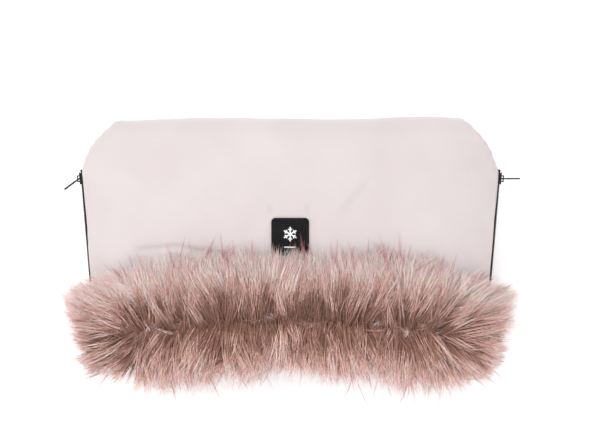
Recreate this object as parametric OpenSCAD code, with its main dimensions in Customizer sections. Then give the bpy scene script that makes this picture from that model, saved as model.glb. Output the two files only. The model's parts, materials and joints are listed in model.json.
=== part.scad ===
// Hand warmer muff that wraps round a stroller handlebar.
// One padded panel is folded over the bar and zipped up both sides. The hands go in through the
// fur-trimmed mouth, and the arms of the handlebar leave through the two openings beside the fold.
// It lies on its back: +X to the right, +Y from the mouth towards the fold, +Z up.
// The origin is on the table under the middle of the muff.

/* [Body] */
// Length from the folded edge to the front of the fur
overall_len = 297; // [294:1:297]
// Width of the panels at the upper ends of the zips
body_w = 452; // [440:1:460]
// Width of the folded edge
fold_w = 382; // [350:1:390]
// Outer radius of the fold
fold_r = 32; // [30:0.5:34]
// Height of the zips above the table, which is also the depth of the back panel
zip_z = 44; // [42:0.5:46]
// Depth of the front panel above the zips, halfway along
front_belly = 42; // [38:0.5:44]
// Depth of the front lip above the zips
front_lip = 45; // [42:0.5:46]
// Depth of the back lip below the zips
back_lip = 30; // [28:0.5:32]
// Distance from the folded edge to the lips at the middle of the mouth
lip_from_fold = 231; // [228:0.5:234]
// How much further from the fold the lips are at the zips than at the middle
lip_bow = 26; // [20:1:28]

/* [Layers] */
// Thickness of the outer cloth
shell_t = 0.9; // [0.6:0.1:1]
// Thickness of the wadding
padding_t = 9; // [7:0.5:9]
// Thickness of the plush lining
lining_t = 2.5; // [1.5:0.5:2.5]

/* [Fur trim] */
// Width across the fur from side to side
fur_w = 502; // [500:1:510]
// How far the fur stands out in front of the lips
fur_reach = 50; // [50:0.5:52]
// How far the front fur reaches over the panel, towards the fold
fur_back = 88; // [80:1:92]
// How far the back fur reaches under the panel, towards the fold
fur_under = 44; // [38:1:46]
// Height of the fur above the front lip
fur_rise = 31; // [26:1:34]

/* [Zips] */
// Pitch of the teeth on one tape
tooth_pitch = 3.2; // [3:0.1:3.4]
// Teeth on each tape
tooth_count = 54; // [48:1:54]
// Length of a slider
slider_len = 13; // [12:0.5:14]
// Length of a pull from its pivot
pull_len = 20; // [16:0.5:24]
// How far the left pull hangs down from square, in degrees
left_pull_angle = 32; // [-60:1:60]
// How far the right pull hangs down from square, in degrees
right_pull_angle = -5; // [-60:1:60]

/* [Label] */
// Side of the square rubber label
label_size = 40; // [36:1:44]
// Distance from the folded edge to the middle of the label
label_from_fold = 129; // [124:1:134]

/* [Hidden] */

FRONT = 1;
BACK = -1;
LEFT = -1;
RIGHT = 1;

pink = [0.93, 0.85, 0.86];
wadding = [0.96, 0.96, 0.95];
plush = [0.90, 0.80, 0.81];
fur = [0.62, 0.49, 0.46];
black = [0.09, 0.09, 0.10];
gunmetal = [0.16, 0.16, 0.17];
white = [0.95, 0.95, 0.95];

// Places along Y
fold_y = overall_len / 2;
arc_y = fold_y - fold_r;
zip_top_y = fold_y - 59.5;
lip_y = fold_y - lip_from_fold;

// Slope of the zips in plan: the body narrows towards its mouth
zip_slope = 0.084;
// The teeth stand this far outside the edge of the panels
zip_proud = 1.5;
zip_angle = -atan(zip_slope);

// Height of the panels' hems above and below the middle of the zip
hem_h = 7;

// ---- Shape of the padded panels ----
// A station is [base y, angle, half width, depth, edge depth, openness]. Its section stands on the
// zip plane along the panel (angle 0) and turns about the middle of the fold (angle up to 90).

function smooth(t) = let (c = min(1, max(0, t))) c * c * (3 - 2 * c);

function half_width(y) =
    y > zip_top_y
        ? body_w / 2 - (body_w - fold_w) / 2 * pow((y - zip_top_y) / (fold_y - zip_top_y), 1.4)
        : body_w / 2 - zip_slope * (zip_top_y - y);

function belly(side) = side == FRONT ? front_belly : zip_z;
function lip(side) = side == FRONT ? front_lip : back_lip;

// Depth of a panel at its middle line
function depth(y, side) =
    fold_r
    + (belly(side) - fold_r) * smooth((arc_y - y) / 90)
    + (lip(side) - belly(side)) * smooth((10 - y) / (10 - lip_y));

// 0 where the edge is closed by the zip, 1 where the handlebar's arm leaves
function openness(y) = smooth((y - zip_top_y) / (fold_y - zip_top_y - 18));

// How far a station is moved away from the fold at its edges, which bows the lips
function bow_at(y) = lip_bow * smooth((-5 - y) / (-5 - lip_y));

function station(base_y, angle, side) = let (
    plan_y = base_y + fold_r * sin(angle),
    d = depth(base_y, side),
    g = openness(plan_y)
) [base_y, angle, half_width(plan_y - bow_at(base_y)), d, hem_h + (0.97 * d - hem_h) * g, g];

panel_steps = 18;
panel_step = (arc_y - lip_y) / panel_steps;
// The last steps before the fold are halved, because the edges open there
halved = 3;
panel_bases = [
    for (i = [0:panel_steps - halved - 1]) lip_y + panel_step * i,
    for (i = [2 * halved:-1:1]) arc_y - panel_step * i / 2,
];
arc_steps = 6;
// The halves stop just short of the middle plane of the fold, so they never meet
arc_end = 89.4;
function stations(side) = [
    for (b = panel_bases) station(b, 0, side),
    for (i = [0:arc_steps]) station(arc_y, arc_end * i / arc_steps, side),
];

// Shares of the half width at which a section has points, from its edge to its middle
shares = [1, 0.997, 0.985, 0.96, 0.92, 0.86, 0.78, 0.66, 0.5, 0.33, 0.16, 0];
function crown(t) = pow(1 - pow(t, 5), 1 / 1.8);

// [x, h] of one layer's face across a station. at_zip and at_hole are [inset, rise]: how far the
// face's edge is from the outer edge of the panel, where the zip is and where the arm leaves.
function half_face(s, at_zip, at_hole, drop) = let (
    w = s[2] - at_zip[0] * (1 - s[5]) - at_hole[0] * s[5],
    e = s[4] + at_zip[1] * (1 - s[5]) + at_hole[1] * s[5],
    top = s[3] - drop
) [for (t = shares) [w * t, e + (top - e) * crown(t)]];

function both_sides(half) = concat(
    [for (p = half) [-p[0], p[1]]],
    [for (i = [len(half) - 2:-1:0]) half[i]]
);
function reversed(list) = [for (i = [len(list) - 1:-1:0]) list[i]];

// A point of a section as [x, y, z]
function placed(s, p, side) = [
    p[0],
    s[0] + p[1] * sin(s[1]) - bow_at(s[0]) * pow(p[0] / s[2], 2),
    zip_z + side * p[1] * cos(s[1]),
];

// A closed solid through rings that have equally many points. Each ring runs out along one face
// and back along the other, so its ends are closed by strips between the two.
module skin(rings) {
    n = len(rings[0]);
    last = (len(rings) - 1) * n;
    points = [for (ring = rings) for (p = ring) p];
    sides = [
        for (j = [0:n:last - 1]) for (i = [0:n - 1]) let (
            a = j + i, b = j + (i + 1) % n, c = a + n, d = b + n
        ) each [[a, b, d], [a, d, c]]
    ];
    ends = [
        for (i = [0:n / 2 - 2]) let (a = i, b = i + 1, c = n - 1 - i, d = n - 2 - i)
            each [[b, a, c], [b, c, d], [last + a, last + b, last + c], [last + b, last + d, last + c]]
    ];
    polyhedron(points = points, faces = concat(sides, ends), convexity = 10);
}

// The rings of a layer run the other way round on the back half, which keeps its faces outwards
function layer_rings(sections, side) = [
    for (pair = sections) [
        for (p = side == FRONT ? pair[1] : reversed(pair[1])) placed(pair[0], p, side)
    ]
];

module layer(side, outer_zip, outer_hole, outer_drop, inner_zip, inner_hole, inner_drop) {
    sections = [
        for (s = stations(side)) [s, concat(
            both_sides(half_face(s, outer_zip, outer_hole, outer_drop)),
            reversed(both_sides(half_face(s, inner_zip, inner_hole, inner_drop)))
        )]
    ];
    skin(layer_rings(sections, side));
}

gap = 0.8;
padding_top = shell_t + gap;
padding_low = padding_top + padding_t;
lining_top = padding_low + gap;
lining_low = lining_top + lining_t;
hem_t = 1;

module outer_shell(side) {
    color(pink) layer(side, [0, 0], [0, 0], 0, [shell_t, 0], [0.1, -shell_t], shell_t);
}

module padding(side) {
    color(wadding) layer(
        side, [4.8, 2], [1.8, -padding_top], padding_top,
        [11.8, 2], [2.8, -padding_low], padding_low
    );
}

// The lining ends in a narrow turned hem that runs out to the zip tape and closes the layers
module lining(side) {
    sections = [
        for (s = stations(side)) let (
            g = s[5],
            tip_low = [s[2] - 3.2 * (1 - g) - 0.2 * g, s[4] - padding_top * g],
            tip_high = [s[2] - 3.2 * (1 - g) - 1.2 * g, s[4] + hem_t * (1 - g) - padding_top * g],
            outer = both_sides(half_face(s, [12.8, hem_t], [2.2, -lining_top], lining_top)),
            inner = both_sides(half_face(s, [14.5, 0], [0.2, -lining_low], lining_low))
        ) [s, concat(
            [[-tip_high[0], tip_high[1]]], outer, [tip_high, tip_low], reversed(inner),
            [[-tip_low[0], tip_low[1]]]
        )]
    ];
    color(plush) skin(layer_rings(sections, side));
}

// ---- Fur trim ----
// The fur is sewn over each lip and stands out all round it. Its rings follow the same shares of
// the width as the panels, and then run on past the zips to the tips of the fur.

trim_bases = [for (i = [3:-1:0]) panel_bases[i]];
trim_gap = 0.8;
// Distance that the middle of the pile lies behind the lip, and half its length
function fur_mid(side) = ((side == FRONT ? fur_back : fur_under) - fur_reach) / 2;
function fur_half(side) = ((side == FRONT ? fur_back : fur_under) + fur_reach) / 2;
// The fur thins out over this distance towards its ends
fur_round = 95;
trim_angles = [12, 34, 56, 78, 100, 122, 142, 158, 170];

lip_w = half_width(lip_y - lip_bow);
past_zip = fur_w / 2 - lip_w;
trim_ends = [for (t = [0.2, 0.4, 0.6, 0.8, 0.93, 1]) t * past_zip];
function end_taper(x) = let (t = max(0, (x - (fur_w / 2 - fur_round)) / fur_round))
    sqrt(max(0.03, 1 - pow(min(1, t), 2.4)));

// Height of the panel's outer face at a share of the width, above or below the zips
function face_height(base_y, share, side) = let (s = station(base_y, 0, side))
    s[4] + (s[3] - s[4]) * crown(share);

// How much wider the panel is at a station than at its lip, for a share of the width
function widening(s, share) = (s[2] - lip_w) * share + trim_gap * pow(share, 8);

// The station that passes through a place in plan
function station_near(y, share, side) = let (b = y + bow_at(y) * share * share)
    station(max(lip_y, y + bow_at(b) * share * share), 0, side);

function trim_ring(share, past, side) = let (
    x = lip_w * share + past,
    near = 1 - min(1, past / (0.5 * past_zip)),
    edge_y = lip_y - lip_bow * share * share,
    k = end_taper(x),
    // Past the panel's edge the inner side of the fur closes up with the outer side
    squeeze = near + (1 - near) * k,
    top = face_height(lip_y, share, side),
    low = max(hem_h + gap, top - lining_low - 2 - (top - hem_h) * 0.1),
    mid_y = edge_y + fur_mid(side),
    half = fur_half(side) * k,
    rise = side == FRONT ? fur_rise : zip_z - lip(side) + 16,
    most = side == FRONT ? overall_len : zip_z,
    under = [
        for (b = trim_bases) let (s = station(b, 0, side)) [
            x + widening(s, share) * near,
            mid_y + (b - bow_at(b) * share * share - mid_y) * squeeze,
            face_height(b, share, side) + trim_gap,
        ]
    ],
    front = [
        [x, mid_y + (edge_y - trim_gap - mid_y) * squeeze, top + trim_gap],
        [x, mid_y + (edge_y - trim_gap - mid_y) * squeeze, low],
        [x, mid_y - half * 0.86, low],
    ],
    over = [
        for (a = trim_angles) let (
            // The front of the pile is trimmed to the overall length
            y = max(-overall_len / 2, mid_y - half * cos(a)),
            h = low + (top - low) * smooth(a / 90) + rise * k * sin(a),
            s = station_near(y, share, side),
            behind = y > edge_y,
            least = behind ? face_height(s[0], share, side) + 2 : 0
        ) [x + (behind ? widening(s, share) * near : 0), y, min(most, max(h, least))]
    ]
) [for (p = concat(under, front, over)) [p[0], p[1], zip_z + side * p[2]]];

module fur_trim(side) {
    half = concat(
        [for (past = reversed(trim_ends)) trim_ring(1, past, side)],
        [for (t = shares) trim_ring(t, 0, side)]
    );
    mirrored = [for (ring = half) [for (p = ring) [-p[0], p[1], p[2]]]];
    across = concat(mirrored, [for (i = [len(half) - 2:-1:0]) half[i]]);
    color(fur) skin([for (ring = across) side == FRONT ? reversed(ring) : ring]);
}

// ---- Label ----

label_t = 1.8;
label_corner = 4.5;
label_y = fold_y - label_from_fold;
label_z = zip_z + depth(label_y, FRONT) + gap;
emblem_t = 0.5;

module label_place() {
    translate([0, label_y, label_z]) rotate([-0.6, 0, 0]) children();
}

module rounded_square(side, r) {
    square([side - 2 * r, side], center = true);
    square([side, side - 2 * r], center = true);
    for (i = [-1, 1]) for (j = [-1, 1])
        translate([i * (side / 2 - r), j * (side / 2 - r)]) circle(r, $fn = 48);
}

groove_in = 2.2;
groove_half = 0.5;
groove_depth = 0.5;

module label_patch() {
    color(black) label_place() difference() {
        linear_extrude(label_t) rounded_square(label_size, label_corner);
        // A groove for the stitching runs round the edge
        translate([0, 0, label_t - groove_depth]) linear_extrude(1) difference() {
            rounded_square(
                label_size - 2 * (groove_in - groove_half), label_corner - groove_in + groove_half);
            rounded_square(
                label_size - 2 * (groove_in + groove_half), label_corner - groove_in - groove_half);
        }
    }
}

module label_stitching() {
    stitch = 2.2;
    pitch = 3.2;
    per_side = floor((label_size - 2 * label_corner) / pitch);
    color(black) label_place() for (a = [0:90:270]) rotate(a)
        for (i = [0:per_side - 1])
            translate([
                (i - (per_side - 1) / 2) * pitch - stitch / 2,
                label_size / 2 - groove_in - 0.3,
                label_t - groove_depth + 0.02,
            ]) cube([stitch, 0.6, 0.4]);
}

// A plain six-armed snowflake with a short bar under it
module label_emblem() {
    arm = label_size * 0.19;
    color(white) label_place() translate([0, 0, label_t]) linear_extrude(emblem_t) {
        translate([0, label_size * 0.07]) for (a = [0:60:300]) rotate(a) {
            translate([-0.7, 0]) square([1.4, arm]);
            for (b = [-1, 1]) translate([0, arm * 0.5]) rotate(48 * b)
                translate([-0.55, 0]) square([1.1, arm * 0.36]);
        }
        translate([-label_size * 0.16, -label_size * 0.29]) square([label_size * 0.32, 1.2]);
    }
}

// ---- Zips ----
// A zip lies along its own -Y axis from its upper end, with +X outwards and +Z up.

tape_t = 0.6;
tape_bend = [0, 4.9];
tape_sewn = [-3.9, 7.6];
bead_low = 1.9;
bead_high = 2.9;
tooth_w = 1.35;
tooth_t = 2.6;
tooth_tip = 0.9;
first_tooth = slider_len + 1;
chain_len = first_tooth + tooth_count * tooth_pitch;
box_len = 8;

module at_zip(which) {
    mirror([which == LEFT ? 1 : 0, 0, 0])
        translate([half_width(zip_top_y) + zip_proud, zip_top_y, zip_z])
            rotate([0, 0, zip_angle]) children();
}

// Draws its children for the front half, or turned over for the back half
module on_half(side) {
    mirror([0, 0, side == FRONT ? 0 : 1]) children();
}

// The woven tape leaves the teeth and slants inwards between the hems
module zip_tape(which, side) {
    t = tape_t / 2;
    color(black) at_zip(which) on_half(side)
        translate([0, 3, 0]) rotate([90, 0, 0]) linear_extrude(chain_len + box_len + 2) polygon([
            [-t, bead_high], [t, bead_high], [t, tape_bend[1] + 0.1],
            [tape_sewn[0] + 0.2, tape_sewn[1] + t], [tape_sewn[0] - 0.2, tape_sewn[1] - t],
            [-t, tape_bend[1] - 0.1],
        ]);
}

module zip_teeth(which, side) {
    shift = side == FRONT ? 0 : tooth_pitch / 2;
    color(black) at_zip(which) on_half(side) {
        translate([-0.6, -chain_len, bead_low])
            cube([1.2, chain_len - first_tooth, bead_high - bead_low]);
        for (i = [0:tooth_count - 1])
            translate([-tooth_t / 2, -first_tooth - shift - i * tooth_pitch - tooth_w, -tooth_tip])
                cube([tooth_t, tooth_w, bead_high + tooth_tip - 0.2]);
    }
}

module zip_top_stop(which, side) {
    color(gunmetal) at_zip(which) on_half(side)
        translate([-1.1, 0.6, 1.2]) cube([2.2, 2, bead_high - 1.2]);
}

// The pin on the front tape drops into the box on the back tape when the zip is joined
module zip_pin(which) {
    color(black) at_zip(which) translate([-0.9, -chain_len - box_len + 1.5, 0.5])
        cube([1.8, box_len - 1.7, 2.2]);
}

module zip_box(which) {
    color(black) at_zip(which) difference() {
        union() {
            translate([-2.2, -chain_len - box_len, -4.4]) cube([4.4, box_len - 0.4, 1.5]);
            translate([-2.2, -chain_len - box_len, -2.9]) cube([4.4, box_len - 0.4, 7.3]);
        }
        // Pocket for the pin, open towards the fold and along the front tape
        translate([-1.3, -chain_len - box_len + 1.1, 0.2]) cube([2.6, box_len, 10]);
        translate([-0.6, -chain_len - box_len - 1, 2]) cube([1.2, box_len + 2, 10]);
        translate([-0.6, -chain_len - box_len - 1, -10]) cube([1.2, box_len + 2, 7.2]);
    }
}

wing_in = 1.6;
wing_out = 2.6;
wing_half = 4.6;
tail_half = 3.9;
axle_x = 3.5;
axle_y = -slider_len / 2;
bridge_half = 3.7;
bridge_top = 5.6;

module slider_wing(x) {
    translate([x, 0, 0]) rotate([90, 0, 90]) linear_extrude(wing_out - wing_in) polygon([
        [0, -wing_half + 1], [-1, -wing_half], [-7, -wing_half], [-slider_len, -tail_half],
        [-slider_len, tail_half], [-7, wing_half], [-1, wing_half], [0, wing_half - 1],
    ]);
}

module zip_slider(which) {
    flange = 0.9;
    color(gunmetal) at_zip(which) {
        slider_wing(wing_in);
        slider_wing(-wing_out);
        // The post that parts the teeth
        translate([-wing_in - 0.1, 0, 0]) rotate([90, 0, 90]) linear_extrude(2 * wing_in + 0.2)
            polygon([[-0.6, -1.1], [-0.6, 1.1], [-4.6, 0]]);
        // Flanges that keep the teeth in, with a slot between them for the tape
        for (x = [-wing_in - 0.1, wing_in + 0.1 - flange]) for (z = [-tail_half, tail_half - flange])
            translate([x, -slider_len, z]) cube([flange, slider_len - 2, flange]);
        // The bridge that holds the pull
        for (y = [-bridge_half, bridge_half - 1.2])
            translate([wing_out - 0.1, axle_y + y, -1.1]) cube([bridge_top - wing_out, 1.2, 2.2]);
        translate([bridge_top - 1.2, axle_y - bridge_half, -1.1])
            cube([1.2, 2 * bridge_half, 2.2]);
    }
}

// The pull's cross bar turns under the bridge, on an axis along Z
module zip_pull(which, angle) {
    arm_in = 1.5;
    arm_w = 1.2;
    window = 5.2;
    tab_half = 3.2;
    color(gunmetal) at_zip(which) translate([axle_x, axle_y, 0]) rotate([0, 0, -angle]) {
        translate([0, 0, -arm_in - arm_w]) cylinder(h = 2 * (arm_in + arm_w), r = 0.7, $fn = 32);
        for (z = [-arm_in - arm_w, arm_in])
            translate([0, -0.65, z]) cube([window + 0.5, 1.3, arm_w]);
        difference() {
            translate([0, 0.8, 0]) rotate([90, 0, 0]) linear_extrude(1.6) {
                translate([window, -tab_half + 0.6])
                    square([pull_len - window - tab_half + 0.6, 2 * tab_half - 1.2]);
                translate([pull_len - tab_half, 0]) circle(tab_half, $fn = 48);
            }
            translate([pull_len - tab_half, 2, 0]) rotate([90, 0, 0])
                cylinder(h = 4, r = 1.2, $fn = 32);
        }
    }
}

outer_shell(FRONT);  // outer_shell_front
outer_shell(BACK);  // outer_shell_back
padding(FRONT);  // padding_front
padding(BACK);  // padding_back
lining(FRONT);  // lining_front
lining(BACK);  // lining_back
fur_trim(FRONT);  // fur_trim_front
fur_trim(BACK);  // fur_trim_back
label_patch();
label_stitching();
label_emblem();
zip_tape(LEFT, FRONT);  // left_zip_tape_front
zip_tape(LEFT, BACK);  // left_zip_tape_back
zip_teeth(LEFT, FRONT);  // left_zip_teeth_front
zip_teeth(LEFT, BACK);  // left_zip_teeth_back
zip_top_stop(LEFT, FRONT);  // left_zip_top_stop_front
zip_top_stop(LEFT, BACK);  // left_zip_top_stop_back
zip_pin(LEFT);  // left_zip_pin
zip_box(LEFT);  // left_zip_box
zip_slider(LEFT);  // left_zip_slider
zip_pull(LEFT, left_pull_angle);  // left_zip_pull
zip_tape(RIGHT, FRONT);  // right_zip_tape_front
zip_tape(RIGHT, BACK);  // right_zip_tape_back
zip_teeth(RIGHT, FRONT);  // right_zip_teeth_front
zip_teeth(RIGHT, BACK);  // right_zip_teeth_back
zip_top_stop(RIGHT, FRONT);  // right_zip_top_stop_front
zip_top_stop(RIGHT, BACK);  // right_zip_top_stop_back
zip_pin(RIGHT);  // right_zip_pin
zip_box(RIGHT);  // right_zip_box
zip_slider(RIGHT);  // right_zip_slider
zip_pull(RIGHT, right_pull_angle);  // right_zip_pull
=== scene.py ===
"""Looks of the hand warmer muff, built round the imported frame.

Lengths are in millimetres until a mesh is made. x runs to the right, y from the mouth to
the fold, z up. Heights called h are distances from the plane of the zips, to either side.
"""

import json
import math

import bmesh
import bpy
import numpy as np
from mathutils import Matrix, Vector


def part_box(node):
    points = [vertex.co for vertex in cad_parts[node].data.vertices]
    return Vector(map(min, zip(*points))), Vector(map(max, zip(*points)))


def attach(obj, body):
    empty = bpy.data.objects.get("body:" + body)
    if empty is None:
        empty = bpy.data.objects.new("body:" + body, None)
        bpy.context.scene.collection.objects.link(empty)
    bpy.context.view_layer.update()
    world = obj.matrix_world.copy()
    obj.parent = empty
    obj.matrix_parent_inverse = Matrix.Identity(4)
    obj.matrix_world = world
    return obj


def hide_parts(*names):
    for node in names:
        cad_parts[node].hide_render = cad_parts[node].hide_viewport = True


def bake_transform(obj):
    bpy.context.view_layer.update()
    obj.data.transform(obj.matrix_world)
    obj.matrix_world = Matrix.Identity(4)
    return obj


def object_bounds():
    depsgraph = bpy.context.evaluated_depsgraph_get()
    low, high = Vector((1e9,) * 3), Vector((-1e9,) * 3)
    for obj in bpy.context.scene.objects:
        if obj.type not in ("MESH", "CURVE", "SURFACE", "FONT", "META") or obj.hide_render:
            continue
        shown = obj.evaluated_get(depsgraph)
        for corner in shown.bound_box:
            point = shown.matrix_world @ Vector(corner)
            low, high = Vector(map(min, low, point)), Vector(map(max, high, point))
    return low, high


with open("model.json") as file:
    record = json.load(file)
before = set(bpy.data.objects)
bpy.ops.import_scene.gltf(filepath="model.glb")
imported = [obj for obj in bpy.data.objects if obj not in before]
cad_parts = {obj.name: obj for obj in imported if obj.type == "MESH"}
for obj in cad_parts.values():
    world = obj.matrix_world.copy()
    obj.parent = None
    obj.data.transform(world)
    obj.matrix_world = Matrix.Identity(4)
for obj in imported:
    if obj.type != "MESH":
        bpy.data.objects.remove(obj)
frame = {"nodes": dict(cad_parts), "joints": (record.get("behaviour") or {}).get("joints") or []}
CAD_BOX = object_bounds()

MM = 0.001
FRONT = 1
BACK = -1


# ---- Places, from the frame ----


def node_box(name):
    """Lowest and highest corner of a CAD node, in millimetres."""
    low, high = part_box(name)
    return np.array(low) / MM, np.array(high) / MM


def joint(name):
    return next(j for j in frame["joints"] if j["name"] == name)


SHELL_LOW, SHELL_HIGH = node_box("outer_shell_front")
HINGE = np.array(joint("front_half_hinge")["pos_m"]) / MM
FOLD_Y = SHELL_HIGH[1]
ZIP_Z = HINGE[2]
BODY_W = SHELL_HIGH[0] - SHELL_LOW[0]
# The ends of the lips reach this much further out than their middle
LIP_BOW = 26.0
LIP_Y = SHELL_LOW[1] + LIP_BOW
BOW_Y = -5.0
FOLD_W = 382.0
# The fold is a half round about a line at ARC_Y
FOLD_R = 32.0
ARC_Y = FOLD_Y - FOLD_R
# The zips end this far from the fold, and the arm openings begin
ARM_CUT = 59.5
ARM_CURVE = 1.4
ZIP_TOP_Y = FOLD_Y - ARM_CUT
# The edges are open to the full from this far before the fold
FULLY_OPEN = 18
# How much narrower each side gets for each millimetre towards the mouth
ZIP_SLOPE = 0.084
# Height of the cloth's edge beside the zips, and its share of the depth at the arm openings
HEM_H = 7.0
OPEN_EDGE = 0.97
# Depth of each half at its belly and at its lip, and where it changes
DEPTHS = {FRONT: (42.0, 45.0), BACK: (ZIP_Z, 30.0)}
BELLY_RUN = 90
LIP_RISE_Y = 10
CROWN_FLATNESS = 5
CROWN_ROUNDNESS = 1.8
# How far the faces of the padding and of the lining lie inside the shell's outer face
PADDING_TOP = 1.7
PADDING_LOW = 10.7
LINING_TOP = 11.5
LINING_LOW = 14.0
LABEL_LOW, LABEL_HIGH = node_box("label_patch")
LABEL_Y = (LABEL_LOW[1] + LABEL_HIGH[1]) / 2
LABEL_HALF = (LABEL_HIGH[0] - LABEL_LOW[0]) / 2


# ---- Shape of the panels, as in the CAD part ----


def smooth(t):
    c = np.clip(t, 0, 1)
    return c * c * (3 - 2 * c)


def half_width(y):
    cut = np.clip((y - ZIP_TOP_Y) / (FOLD_Y - ZIP_TOP_Y), 0, 1) ** ARM_CURVE
    return BODY_W / 2 - (BODY_W - FOLD_W) / 2 * cut - ZIP_SLOPE * np.maximum(ZIP_TOP_Y - y, 0)


def depth(y, side):
    belly, lip = DEPTHS[side]
    bulge = (belly - FOLD_R) * smooth((ARC_Y - y) / BELLY_RUN)
    return FOLD_R + bulge + (lip - belly) * smooth((LIP_RISE_Y - y) / (LIP_RISE_Y - LIP_Y))


def openness(y):
    """0 where the edge is closed by the zip, 1 where the handlebar's arm leaves."""
    return smooth((y - ZIP_TOP_Y) / (FOLD_Y - ZIP_TOP_Y - FULLY_OPEN))


def bow_at(y):
    return LIP_BOW * smooth((BOW_Y - y) / (BOW_Y - LIP_Y))


def crown(t):
    """Rounded profile across the panel: 1 in the middle, 0 at its edges."""
    return np.maximum(1 - np.abs(t) ** CROWN_FLATNESS, 0) ** (1 / CROWN_ROUNDNESS)


def panel_top(x, y, side=FRONT):
    """Height of the panel's outer face above the zips, at a place in plan."""
    base = np.asarray(y, float)
    for _ in range(3):
        share = np.minimum(np.abs(x) / half_width(base - bow_at(base)), 1)
        base = np.clip(y + bow_at(base) * share**2, LIP_Y, ARC_Y)
    share = np.minimum(np.abs(x) / half_width(base - bow_at(base)), 1)
    deep = depth(base, side)
    opened = openness(base)
    edge = HEM_H + (OPEN_EDGE * deep - HEM_H) * opened
    return edge + (deep - edge) * crown(share)


class Path:
    """The way from the front lip over the fold to the back lip, one row for each station."""

    def __init__(self, flat_step, arc_rows, start=LIP_Y):
        flat = np.linspace(start, ARC_Y, int((ARC_Y - start) / flat_step), endpoint=False)
        arc = np.linspace(0, math.pi / 2, arc_rows)
        base = np.concatenate([flat, np.full(len(arc), ARC_Y)])
        angle = np.concatenate([np.zeros(len(flat)), arc])
        self.base = np.concatenate([base, base[-2::-1]])
        self.angle = np.concatenate([angle, angle[-2::-1]])
        self.side = np.concatenate([np.full(len(base), FRONT), np.full(len(base) - 1, BACK)])
        self.depth = np.where(self.side == FRONT, depth(self.base, FRONT), depth(self.base, BACK))
        plan = self.base + FOLD_R * np.sin(self.angle)
        self.open = openness(plan)
        self.half = half_width(plan - bow_at(self.base))
        self.edge = HEM_H + (OPEN_EDGE * self.depth - HEM_H) * self.open
        steps = np.abs(np.diff(self.base)) + FOLD_R * np.abs(np.diff(self.angle))
        self.along = np.concatenate([[0], np.cumsum(steps)])

    def place(self, x, h):
        """Points of sections, given as rows of x and of height above the zips."""
        base, angle, side = self.base[:, None], self.angle[:, None], self.side[:, None]
        y = base + h * np.sin(angle) - bow_at(base) * (x / self.half[:, None]) ** 2
        z = ZIP_Z + side * h * np.cos(angle)
        return np.stack([x, y, z], axis=-1)


def crown_shares(count):
    """Shares of the half width, from middle to edge, evenly spaced along a typical section."""
    typical_half, typical_rise = 220, 35
    t = 1 - np.linspace(1, 0, 4000) ** 3
    steps = np.hypot(np.diff(t * typical_half), np.diff(crown(t) * typical_rise))
    length = np.concatenate([[0], np.cumsum(steps)])
    return np.interp(np.linspace(0, length[-1], count), length, t)


def mirrored(half_x, half_h):
    """A whole section from its right half, left edge first."""
    x = np.concatenate([-half_x[:, ::-1], half_x[:, 1:]], axis=1)
    h = np.concatenate([half_h[:, ::-1], half_h[:, 1:]], axis=1)
    return x, h


def mix(a, b, t):
    return a + (b - a) * t


def ripple(x, y, scale, seed, waves=7):
    """Smooth random relief between about -1 and 1, whose bumps are about scale across."""
    rng = np.random.default_rng(seed)
    total = np.zeros(np.broadcast(x, y).shape)
    for _ in range(waves):
        turn = rng.uniform(0, math.tau)
        step = math.pi / scale * rng.uniform(0.7, 1.4)
        total += np.sin((x * math.cos(turn) + y * math.sin(turn)) * step + rng.uniform(0, math.tau))
    return total / math.sqrt(waves)


# ---- Mesh making ----


def smooth_shaded(mesh):
    mesh.polygons.foreach_set("use_smooth", np.ones(len(mesh.polygons), bool))


def new_object(name, verts, faces):
    mesh = bpy.data.meshes.new(name)
    mesh.from_pydata([tuple(v) for v in np.asarray(verts, float) * MM], [], faces)
    mesh.validate()
    smooth_shaded(mesh)
    mesh.update()
    made = bpy.data.objects.new(name, mesh)
    bpy.context.scene.collection.objects.link(made)
    return made


def unit(v):
    return v / np.maximum(np.linalg.norm(v, axis=-1, keepdims=True), 1e-9)


def grid_normals(points):
    across = np.gradient(points, axis=1)
    along = np.gradient(points, axis=0)
    return unit(np.cross(across, along))


def outward_normals(points):
    """Normals of a grid whose first row is on the front half, turned to point out of the muff."""
    normals = grid_normals(points)
    middle = points.shape[1] // 2
    return normals * np.sign(normals[:1, middle : middle + 1, 2:])


def run_along(points, axis):
    """Length along one axis of a grid or a line of points, 0 at its start."""
    steps = np.linalg.norm(np.diff(points, axis=axis), axis=-1)
    start = np.zeros_like(np.take(steps, [0], axis=axis))
    return np.concatenate([start, np.cumsum(steps, axis=axis)], axis=axis)


def sheet_object(name, outer, inner):
    """A closed sheet between two grids of points, with a map of its flat size in metres."""
    rows, cols = outer.shape[:2]
    size = rows * cols
    index = np.arange(size).reshape(rows, cols)
    quad = [index[:-1, :-1], index[:-1, 1:], index[1:, 1:], index[1:, :-1]]
    top = np.stack([q.ravel() for q in quad], axis=1)
    bottom = top[:, ::-1] + size
    rim = np.concatenate([index[0, :], index[1:, -1], index[-1, -2::-1], index[-2:0:-1, 0]])
    after = np.roll(rim, -1)
    wall = np.stack([after, rim, rim + size, after + size], axis=1)
    faces = np.concatenate([top, bottom, wall])
    verts = np.concatenate([outer.reshape(-1, 3), inner.reshape(-1, 3)])
    made = new_object(name, verts, faces.tolist())
    flat_u = run_along(outer, 1)
    flat_u -= flat_u[:, cols // 2 : cols // 2 + 1]
    flat_v = run_along(outer, 0)
    flat = np.stack([flat_u.ravel(), np.repeat(flat_v[:, cols // 2], cols)], axis=1) * MM
    loops = np.zeros(len(made.data.loops), int)
    made.data.loops.foreach_get("vertex_index", loops)
    layer = made.data.uv_layers.new(name="FlatCloth")
    layer.data.foreach_set("uv", flat[loops % size].astype(np.float32).ravel())
    return made


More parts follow.
